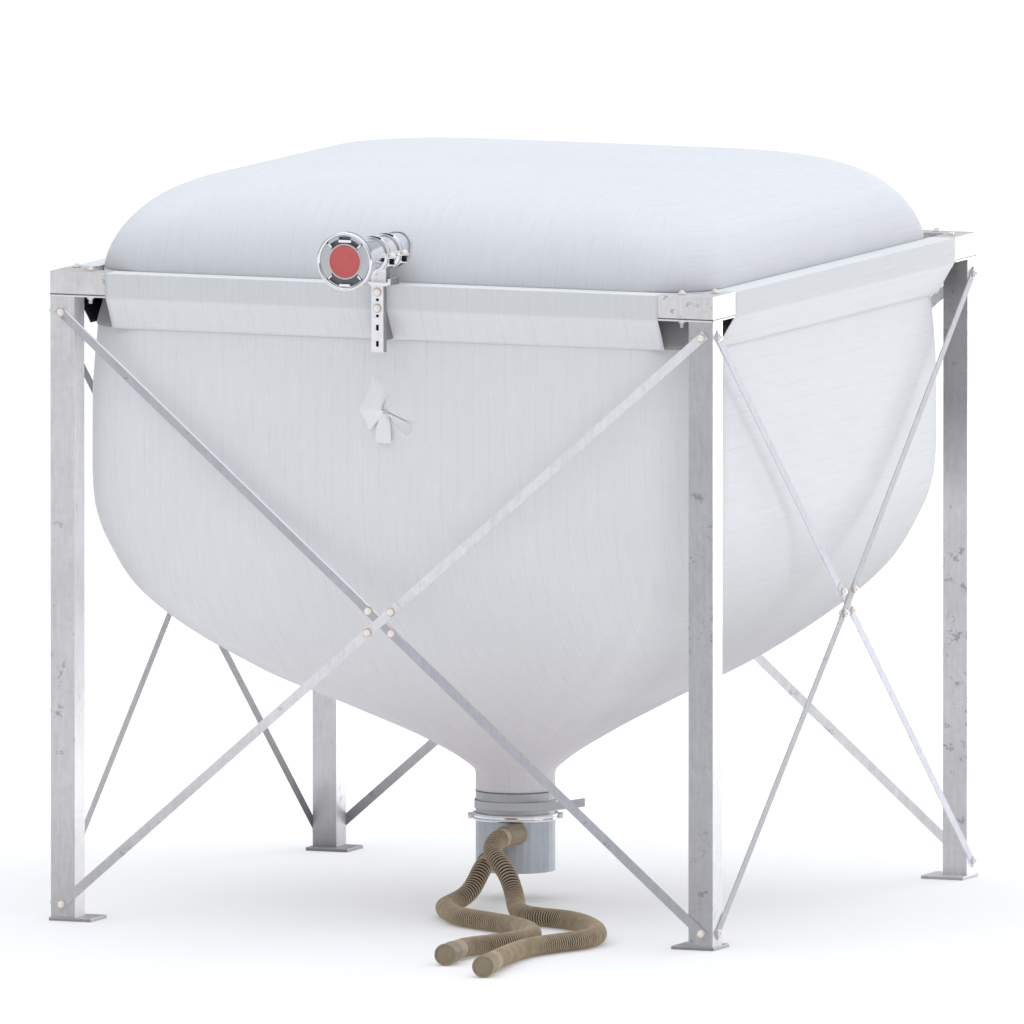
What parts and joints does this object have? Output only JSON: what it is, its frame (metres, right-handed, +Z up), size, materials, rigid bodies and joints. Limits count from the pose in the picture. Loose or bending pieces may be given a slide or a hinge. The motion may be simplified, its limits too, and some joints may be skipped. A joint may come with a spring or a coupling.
{
  "type": "chip extraction silo",
  "caption": "Square steel frame with crossed flat braces that carries a fabric bag silo with a round hopper outlet, a side fill pipe and two suction hoses.",
  "frame": {"origin": "floor level, under the middle of the silo with its fill pipe; the bag's own axis stands 0.135 m behind it", "axes": "+Z up, +Y from the front with the fill pipe to the back, +X to the right seen from the front"},
  "size_m": [2.251, 3.1673, 2.3013],
  "materials": {
    "bag_fabric": "pale grey woven antistatic fabric",
    "galvanised": "dull galvanised steel with dark specks",
    "polished_steel": "bright polished steel",
    "ring_steel": "brushed sheet steel",
    "dark_steel": "dark grey steel",
    "red_cap": "dull red",
    "hose": "tan ribbed suction hose",
    "cuff": "dark hose cuff"
  },
  "bodies": {
    "root": {"beam_back": "galvanised", "beam_front": "galvanised", "beam_left": "galvanised", "beam_right": "galvanised", "brace_back_inner": "galvanised", "brace_back_outer": "galvanised", "brace_front_inner": "galvanised", "brace_front_outer": "galvanised", "brace_left_inner": "galvanised", "brace_left_outer": "galvanised", "brace_right_inner": "galvanised", "brace_right_outer": "galvanised", "bracket_back_left": "galvanised", "bracket_back_right": "galvanised", "bracket_front_left": "galvanised", "bracket_front_right": "galvanised", "clamp_ring": "polished_steel", "hopper_back": "bag_fabric", "hopper_front": "bag_fabric", "hopper_left": "bag_fabric", "hopper_right": "bag_fabric", "hose_left": "hose", "hose_left_cuff": "cuff", "hose_right": "hose", "hose_right_cuff": "cuff", "inlet_cap": "red_cap", "inlet_clamp_1": "ring_steel", "inlet_clamp_2": "ring_steel", "inlet_coupling": "polished_steel", "inlet_gusset": "dark_steel", "inlet_pipe": "polished_steel", "inlet_strut": "galvanised", "leg_back_left": "galvanised", "leg_back_right": "galvanised", "leg_front_left": "galvanised", "leg_front_right": "galvanised", "neck": "bag_fabric", "outlet_belt": "bag_fabric", "outlet_collar": "galvanised", "outlet_spigot": "ring_steel", "roof": "bag_fabric", "sleeve_back": "bag_fabric", "sleeve_front": "bag_fabric", "sleeve_left": "bag_fabric", "sleeve_right": "bag_fabric", "tied_spout": "bag_fabric", "wall_back": "bag_fabric", "wall_front": "bag_fabric", "wall_left": "bag_fabric", "wall_right": "bag_fabric"}
  },
  "joints": []
}
